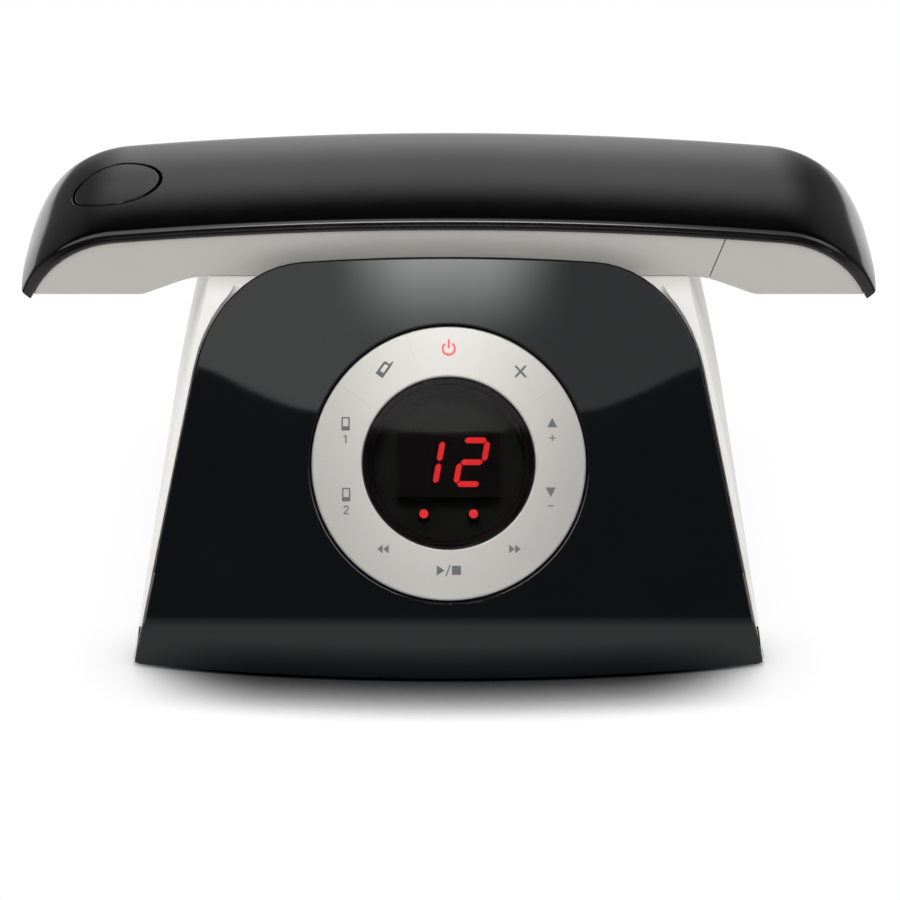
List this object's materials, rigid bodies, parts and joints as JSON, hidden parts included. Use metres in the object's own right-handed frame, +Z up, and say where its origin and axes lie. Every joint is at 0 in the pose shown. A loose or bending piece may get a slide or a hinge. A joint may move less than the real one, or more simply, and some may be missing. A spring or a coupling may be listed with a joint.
{
  "type": "cordless phone",
  "caption": "Cordless phone: a slim arched handset lies across a wedge-shaped answering base, with a ring of keys round a small lit display on a leaning gloss panel.",
  "frame": {"origin": "centre of the overall box, on the table", "axes": "+X along the handset to the right, -Y to the front, +Z up"},
  "size_m": [0.2062, 0.1103, 0.0928],
  "materials": {
    "shell_grey": "satin pale grey",
    "gloss_black": "polished black",
    "key_silver": "satin silver",
    "handset_grey": "satin warm grey",
    "matt_black": "matt black",
    "foot_rubber": "matt",
    "screw_steel": "plain",
    "smoked_lens": "smoked, polished",
    "led_red": "lit red",
    "board_green": "solder mask",
    "speaker_grey": "satin",
    "socket_ivory": "plain",
    "contact_brass": "plated",
    "cell_green": "shrink wrap",
    "lcd_grey": "plain",
    "pad_key_grey": "satin"
  },
  "bodies": {
    "base": {"base_shell": "shell_grey", "front_panel": "gloss_black", "bottom_cover": "matt_black", "rubber_feet": "foot_rubber", "base_screws": "screw_steel", "display_lens": "smoked_lens", "display_bezel": "matt_black", "led_display": "led_red", "indicator_leds": "led_red", "main_board": "board_green", "board_screws": "screw_steel", "key_switches": "matt_black", "base_speaker": "speaker_grey", "jack_board": "board_green", "power_jack": "matt_black", "line_jack": "socket_ivory", "charge_springs": "contact_brass", "antenna": "contact_brass"},
    "handset": {"handset_top_cover": "gloss_black", "handset_lower_shell": "handset_grey", "battery_pack": "cell_green", "handset_board": "board_green", "handset_switches": "matt_black", "earpiece": "speaker_grey", "microphone": "speaker_grey", "lcd_window": "smoked_lens", "lcd_module": "lcd_grey", "charge_plates": "contact_brass", "handset_screws": "screw_steel"},
    "battery_door": {"battery_door": "handset_grey"},
    "round_button": {"round_button": "gloss_black"},
    "key_answer": {"key_answer": "key_silver"},
    "key_delete": {"key_delete": "key_silver"},
    "key_volume_up": {"key_volume_up": "key_silver"},
    "key_volume_down": {"key_volume_down": "key_silver"},
    "key_skip": {"key_skip": "key_silver"},
    "key_play": {"key_play": "key_silver"},
    "key_repeat": {"key_repeat": "key_silver"},
    "key_cell_two": {"key_cell_two": "key_silver"},
    "key_cell_one": {"key_cell_one": "key_silver"},
    "key_find": {"key_find": "key_silver"},
    "pad_key_talk": {"pad_key_talk": "pad_key_grey"},
    "pad_key_menu": {"pad_key_menu": "pad_key_grey"},
    "pad_key_off": {"pad_key_off": "pad_key_grey"},
    "pad_key_1": {"pad_key_1": "pad_key_grey"},
    "pad_key_2": {"pad_key_2": "pad_key_grey"},
    "pad_key_3": {"pad_key_3": "pad_key_grey"},
    "pad_key_4": {"pad_key_4": "pad_key_grey"},
    "pad_key_5": {"pad_key_5": "pad_key_grey"},
    "pad_key_6": {"pad_key_6": "pad_key_grey"},
    "pad_key_7": {"pad_key_7": "pad_key_grey"},
    "pad_key_8": {"pad_key_8": "pad_key_grey"},
    "pad_key_9": {"pad_key_9": "pad_key_grey"},
    "pad_key_star": {"pad_key_star": "pad_key_grey"},
    "pad_key_0": {"pad_key_0": "pad_key_grey"},
    "pad_key_hash": {"pad_key_hash": "pad_key_grey"}
  },
  "joints": [
    {"name": "handset_lift", "type": "slide", "parent": "base", "child": "handset", "axis": [0, 0, 1], "range_m": [0, 0.07]},
    {"name": "battery_door_pull", "type": "slide", "parent": "handset", "child": "battery_door", "axis": [0, 0, -1], "range_m": [0, 0.01]},
    {"name": "round_button_press", "type": "slide", "parent": "handset", "child": "round_button", "axis": [0, 0, -1], "range_m": [0, 0.0008], "stiffness_N_per_m": 1500, "springref_m": -0.0003},
    {"name": "key_answer_press", "type": "slide", "parent": "base", "child": "key_answer", "axis": [0, 0.788, -0.6157], "range_m": [0, 0.0006], "stiffness_N_per_m": 1500, "springref_m": -0.0003},
    {"name": "key_delete_press", "type": "slide", "parent": "base", "child": "key_delete", "axis": [0, 0.788, -0.6157], "range_m": [0, 0.0006], "stiffness_N_per_m": 1500, "springref_m": -0.0003},
    {"name": "key_volume_up_press", "type": "slide", "parent": "base", "child": "key_volume_up", "axis": [0, 0.788, -0.6157], "range_m": [0, 0.0006], "stiffness_N_per_m": 1500, "springref_m": -0.0003},
    {"name": "key_volume_down_press", "type": "slide", "parent": "base", "child": "key_volume_down", "axis": [0, 0.788, -0.6157], "range_m": [0, 0.0006], "stiffness_N_per_m": 1500, "springref_m": -0.0003},
    {"name": "key_skip_press", "type": "slide", "parent": "base", "child": "key_skip", "axis": [0, 0.788, -0.6157], "range_m": [0, 0.0006], "stiffness_N_per_m": 1500, "springref_m": -0.0003},
    {"name": "key_play_press", "type": "slide", "parent": "base", "child": "key_play", "axis": [0, 0.788, -0.6157], "range_m": [0, 0.0006], "stiffness_N_per_m": 1500, "springref_m": -0.0003},
    {"name": "key_repeat_press", "type": "slide", "parent": "base", "child": "key_repeat", "axis": [0, 0.788, -0.6157], "range_m": [0, 0.0006], "stiffness_N_per_m": 1500, "springref_m": -0.0003},
    {"name": "key_cell_two_press", "type": "slide", "parent": "base", "child": "key_cell_two", "axis": [0, 0.788, -0.6157], "range_m": [0, 0.0006], "stiffness_N_per_m": 1500, "springref_m": -0.0003},
    {"name": "key_cell_one_press", "type": "slide", "parent": "base", "child": "key_cell_one", "axis": [0, 0.788, -0.6157], "range_m": [0, 0.0006], "stiffness_N_per_m": 1500, "springref_m": -0.0003},
    {"name": "key_find_press", "type": "slide", "parent": "base", "child": "key_find", "axis": [0, 0.788, -0.6157], "range_m": [0, 0.0006], "stiffness_N_per_m": 1500, "springref_m": -0.0003},
    {"name": "pad_key_talk_press", "type": "slide", "parent": "handset", "child": "pad_key_talk", "axis": [0, 0, 1], "range_m": [0, 0.0008], "stiffness_N_per_m": 1200, "springref_m": -0.0003},
    {"name": "pad_key_menu_press", "type": "slide", "parent": "handset", "child": "pad_key_menu", "axis": [0, 0, 1], "range_m": [0, 0.0008], "stiffness_N_per_m": 1200, "springref_m": -0.0003},
    {"name": "pad_key_off_press", "type": "slide", "parent": "handset", "child": "pad_key_off", "axis": [0, 0, 1], "range_m": [0, 0.0008], "stiffness_N_per_m": 1200, "springref_m": -0.0003},
    {"name": "pad_key_1_press", "type": "slide", "parent": "handset", "child": "pad_key_1", "axis": [0, 0, 1], "range_m": [0, 0.0008], "stiffness_N_per_m": 1200, "springref_m": -0.0003},
    {"name": "pad_key_2_press", "type": "slide", "parent": "handset", "child": "pad_key_2", "axis": [0, 0, 1], "range_m": [0, 0.0008], "stiffness_N_per_m": 1200, "springref_m": -0.0003},
    {"name": "pad_key_3_press", "type": "slide", "parent": "handset", "child": "pad_key_3", "axis": [0, 0, 1], "range_m": [0, 0.0008], "stiffness_N_per_m": 1200, "springref_m": -0.0003},
    {"name": "pad_key_4_press", "type": "slide", "parent": "handset", "child": "pad_key_4", "axis": [0, 0, 1], "range_m": [0, 0.0008], "stiffness_N_per_m": 1200, "springref_m": -0.0003},
    {"name": "pad_key_5_press", "type": "slide", "parent": "handset", "child": "pad_key_5", "axis": [0, 0, 1], "range_m": [0, 0.0008], "stiffness_N_per_m": 1200, "springref_m": -0.0003},
    {"name": "pad_key_6_press", "type": "slide", "parent": "handset", "child": "pad_key_6", "axis": [0, 0, 1], "range_m": [0, 0.0008], "stiffness_N_per_m": 1200, "springref_m": -0.0003},
    {"name": "pad_key_7_press", "type": "slide", "parent": "handset", "child": "pad_key_7", "axis": [0, 0, 1], "range_m": [0, 0.0008], "stiffness_N_per_m": 1200, "springref_m": -0.0003},
    {"name": "pad_key_8_press", "type": "slide", "parent": "handset", "child": "pad_key_8", "axis": [0, 0, 1], "range_m": [0, 0.0008], "stiffness_N_per_m": 1200, "springref_m": -0.0003},
    {"name": "pad_key_9_press", "type": "slide", "parent": "handset", "child": "pad_key_9", "axis": [0, 0, 1], "range_m": [0, 0.0008], "stiffness_N_per_m": 1200, "springref_m": -0.0003},
    {"name": "pad_key_star_press", "type": "slide", "parent": "handset", "child": "pad_key_star", "axis": [0, 0, 1], "range_m": [0, 0.0008], "stiffness_N_per_m": 1200, "springref_m": -0.0003},
    {"name": "pad_key_0_press", "type": "slide", "parent": "handset", "child": "pad_key_0", "axis": [0, 0, 1], "range_m": [0, 0.0008], "stiffness_N_per_m": 1200, "springref_m": -0.0003},
    {"name": "pad_key_hash_press", "type": "slide", "parent": "handset", "child": "pad_key_hash", "axis": [0, 0, 1], "range_m": [0, 0.0008], "stiffness_N_per_m": 1200, "springref_m": -0.0003}
  ]
}
